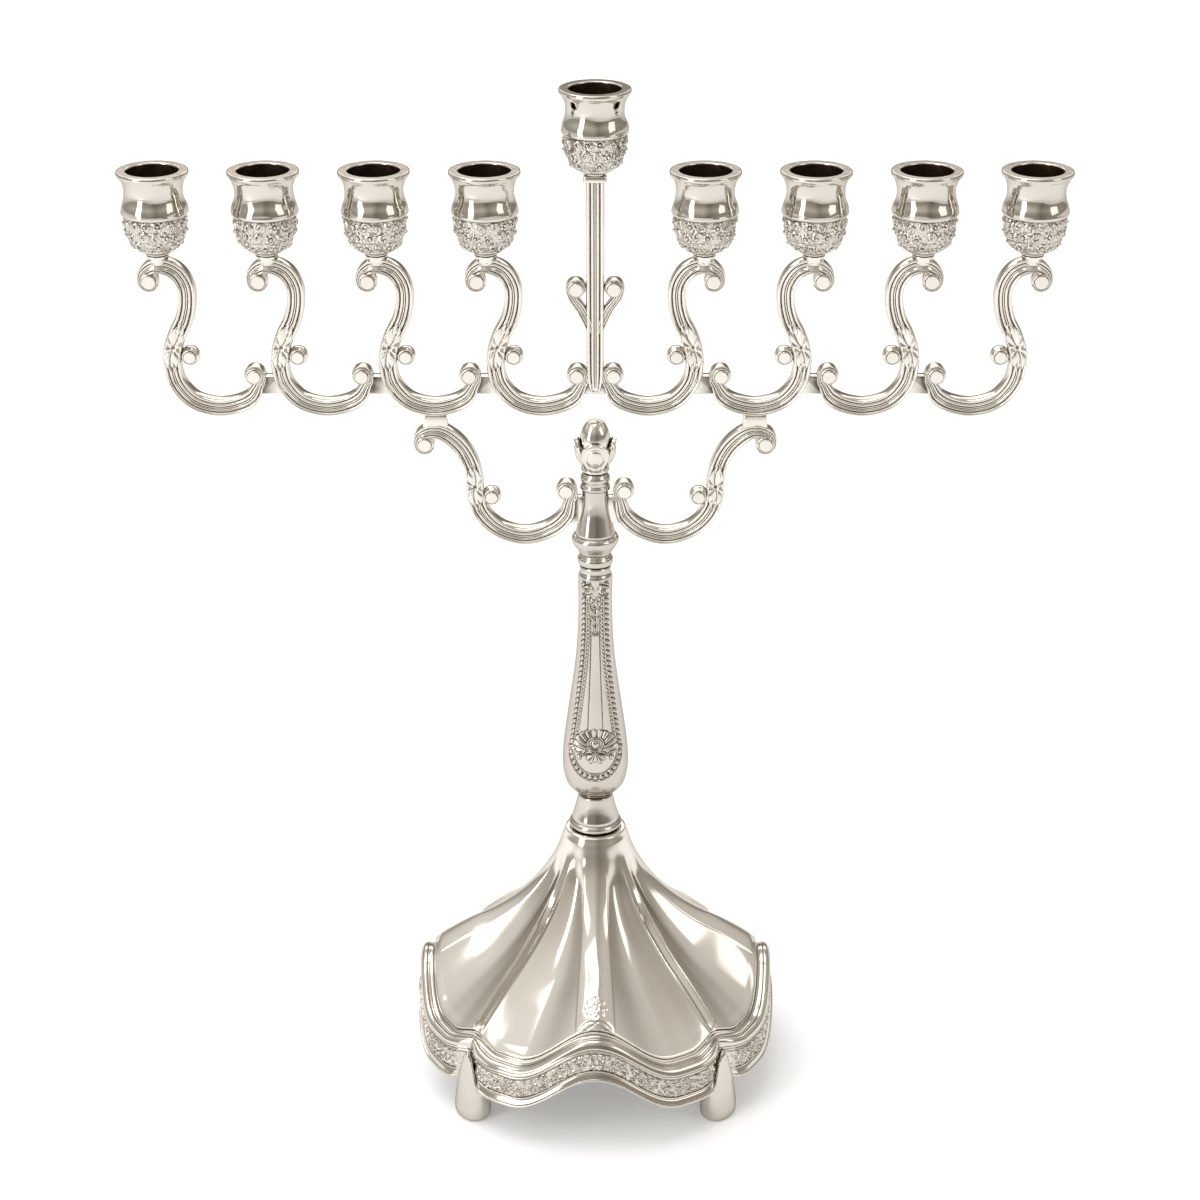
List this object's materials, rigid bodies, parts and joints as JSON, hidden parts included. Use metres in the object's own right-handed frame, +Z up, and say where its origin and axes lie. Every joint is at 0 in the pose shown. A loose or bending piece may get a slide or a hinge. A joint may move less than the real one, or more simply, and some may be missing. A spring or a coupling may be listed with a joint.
{
  "type": "menorah",
  "caption": "Table candelabrum with a row of scrolled arms, candle cups and a raised centre cup on a baluster stem and a domed, fluted, footed base.",
  "frame": {"origin": "on the table, at the centre of the base", "axes": "+Z up, +X along the row of arms, -Y toward the front"},
  "size_m": [0.2686, 0.1124, 0.3126],
  "materials": {
    "canopy_plate": "mirror-polished warm silver plate on pressed sheet",
    "gallery_plate": "silver plate, fine floral relief darkened in its recesses",
    "foot_plate": "silver plate on a casting",
    "stem_plate": "silver plate on castings, polished with darkened relief",
    "finial_plate": "silver plate, leaf relief",
    "arm_plate": "silver plate on reeded castings",
    "cup_plate": "silver plate, polished rim over a repousse bowl",
    "hardware_steel": "plain zinc-plated steel"
  },
  "bodies": {
    "base": {"base_body": "canopy_plate", "base_gallery": "gallery_plate", "foot_front_right": "foot_plate", "foot_back_right": "foot_plate", "foot_back_left": "foot_plate", "foot_front_left": "foot_plate", "base_washer": "hardware_steel"},
    "tie_nut": {"tie_nut": "hardware_steel"},
    "stem": {"tie_rod": "hardware_steel", "stem_collar": "stem_plate", "stem_baluster": "stem_plate", "stem_ring": "stem_plate", "hub": "stem_plate", "lower_arm_left": "arm_plate", "lower_arm_right": "arm_plate", "saddle_left": "arm_plate", "saddle_right": "arm_plate", "shamash_post": "arm_plate", "arm_left_1": "arm_plate", "arm_left_2": "arm_plate", "arm_left_3": "arm_plate", "arm_left_4": "arm_plate", "arm_right_1": "arm_plate", "arm_right_2": "arm_plate", "arm_right_3": "arm_plate", "arm_right_4": "arm_plate", "shamash_stud": "hardware_steel", "stud_left_1": "hardware_steel", "stud_left_2": "hardware_steel", "stud_left_3": "hardware_steel", "stud_left_4": "hardware_steel", "stud_right_1": "hardware_steel", "stud_right_2": "hardware_steel", "stud_right_3": "hardware_steel", "stud_right_4": "hardware_steel"},
    "finial": {"finial": "finial_plate"},
    "shamash_cup": {"shamash_cup": "cup_plate"},
    "cup_left_1": {"cup_left_1": "cup_plate"},
    "cup_left_2": {"cup_left_2": "cup_plate"},
    "cup_left_3": {"cup_left_3": "cup_plate"},
    "cup_left_4": {"cup_left_4": "cup_plate"},
    "cup_right_1": {"cup_right_1": "cup_plate"},
    "cup_right_2": {"cup_right_2": "cup_plate"},
    "cup_right_3": {"cup_right_3": "cup_plate"},
    "cup_right_4": {"cup_right_4": "cup_plate"}
  },
  "joints": [
    {"name": "stem_turn", "type": "hinge", "parent": "base", "child": "stem", "pos_m": [0, 0, 0.081], "axis": [0, 0, 1], "continuous": true},
    {"name": "tie_nut_turn", "type": "hinge", "parent": "stem", "child": "tie_nut", "pos_m": [0, 0, 0.0747], "axis": [0, 0, 1], "continuous": true},
    {"name": "finial_turn", "type": "hinge", "parent": "stem", "child": "finial", "pos_m": [0, 0, 0.1987], "axis": [0, 0, 1], "continuous": true},
    {"name": "shamash_cup_lift", "type": "slide", "parent": "stem", "child": "shamash_cup", "axis": [0, 0, 1], "range_m": [0, 0.012]},
    {"name": "cup_left_1_lift", "type": "slide", "parent": "stem", "child": "cup_left_1", "axis": [0, 0, 1], "range_m": [0, 0.012]},
    {"name": "cup_left_2_lift", "type": "slide", "parent": "stem", "child": "cup_left_2", "axis": [0, 0, 1], "range_m": [0, 0.012]},
    {"name": "cup_left_3_lift", "type": "slide", "parent": "stem", "child": "cup_left_3", "axis": [0, 0, 1], "range_m": [0, 0.012]},
    {"name": "cup_left_4_lift", "type": "slide", "parent": "stem", "child": "cup_left_4", "axis": [0, 0, 1], "range_m": [0, 0.012]},
    {"name": "cup_right_1_lift", "type": "slide", "parent": "stem", "child": "cup_right_1", "axis": [0, 0, 1], "range_m": [0, 0.012]},
    {"name": "cup_right_2_lift", "type": "slide", "parent": "stem", "child": "cup_right_2", "axis": [0, 0, 1], "range_m": [0, 0.012]},
    {"name": "cup_right_3_lift", "type": "slide", "parent": "stem", "child": "cup_right_3", "axis": [0, 0, 1], "range_m": [0, 0.012]},
    {"name": "cup_right_4_lift", "type": "slide", "parent": "stem", "child": "cup_right_4", "axis": [0, 0, 1], "range_m": [0, 0.012]}
  ]
}
